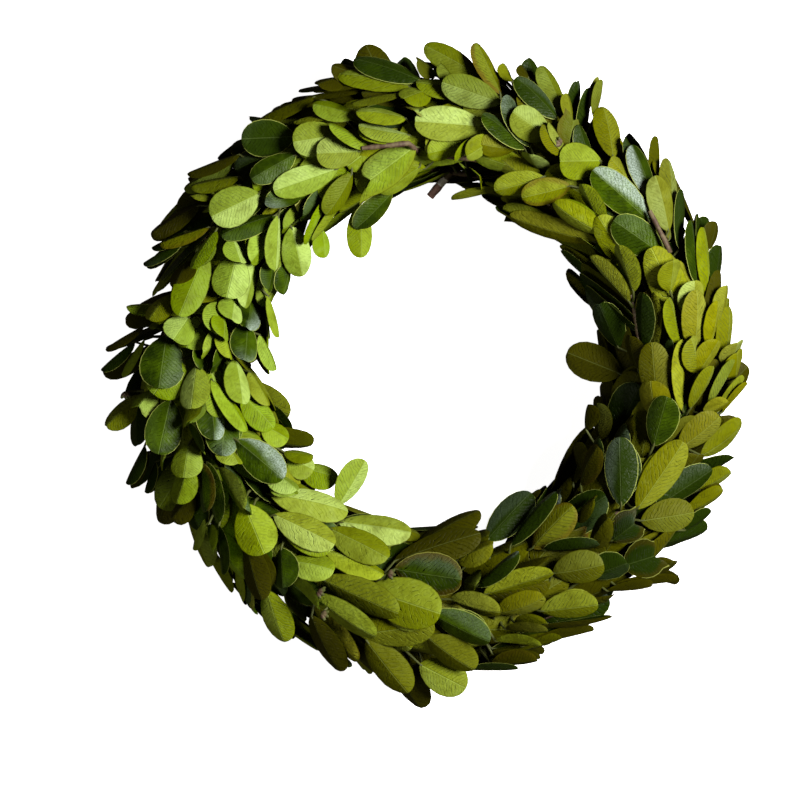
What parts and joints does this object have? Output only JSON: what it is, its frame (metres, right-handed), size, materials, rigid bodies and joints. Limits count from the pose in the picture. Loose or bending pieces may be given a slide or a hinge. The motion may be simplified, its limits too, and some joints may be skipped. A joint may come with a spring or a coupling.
{
  "type": "boxwood wreath",
  "caption": "Small round wreath of preserved boxwood leaves, bound in overlapping sprigs to a wire ring, for hanging on a door or laying round a candle.",
  "frame": {"origin": "under the middle of the wreath's outline, on the surface that it lies on", "axes": "+Z out of the wreath's front, up when it lies on its back; +Y towards the top of the wreath as it hangs; +X to the right seen from the front"},
  "size_m": [0.1467, 0.1522, 0.0343],
  "materials": {
    "steel": "dull wire with a light oxide",
    "leaf_bright": "matte yellow-green leaf, as seen from below, on a thin woody stem",
    "leaf_deep": "glossy deep green leaf, as seen from above, on a thin woody stem",
    "leaf_olive": "satin brownish olive leaf on a thin woody stem"
  },
  "bodies": {
    "root": {"wire_ring": "steel", "binding_wire": "steel", "sprig_01_1": "leaf_deep", "sprig_01_2": "leaf_bright", "sprig_01_3": "leaf_bright", "sprig_01_4": "leaf_deep", "sprig_01_5": "leaf_olive", "sprig_02_1": "leaf_bright", "sprig_02_2": "leaf_bright", "sprig_02_3": "leaf_deep", "sprig_02_4": "leaf_deep", "sprig_02_5": "leaf_bright", "sprig_03_1": "leaf_bright", "sprig_03_2": "leaf_deep", "sprig_03_3": "leaf_olive", "sprig_03_4": "leaf_deep", "sprig_03_5": "leaf_deep", "sprig_04_1": "leaf_deep", "sprig_04_2": "leaf_bright", "sprig_04_3": "leaf_bright", "sprig_04_4": "leaf_bright", "sprig_04_5": "leaf_bright", "sprig_05_1": "leaf_bright", "sprig_05_2": "leaf_olive", "sprig_05_3": "leaf_bright", "sprig_05_4": "leaf_bright", "sprig_05_5": "leaf_bright", "sprig_06_1": "leaf_deep", "sprig_06_2": "leaf_deep", "sprig_06_3": "leaf_bright", "sprig_06_4": "leaf_bright", "sprig_06_5": "leaf_bright", "sprig_07_1": "leaf_bright", "sprig_07_2": "leaf_deep", "sprig_07_3": "leaf_bright", "sprig_07_4": "leaf_olive", "sprig_07_5": "leaf_deep", "sprig_08_1": "leaf_bright", "sprig_08_2": "leaf_bright", "sprig_08_3": "leaf_bright", "sprig_08_4": "leaf_bright", "sprig_08_5": "leaf_bright", "sprig_09_1": "leaf_bright", "sprig_09_2": "leaf_deep", "sprig_09_3": "leaf_bright", "sprig_09_4": "leaf_bright", "sprig_09_5": "leaf_deep", "sprig_10_1": "leaf_olive", "sprig_10_2": "leaf_deep", "sprig_10_3": "leaf_bright", "sprig_10_4": "leaf_deep", "sprig_10_5": "leaf_deep"}
  },
  "joints": []
}
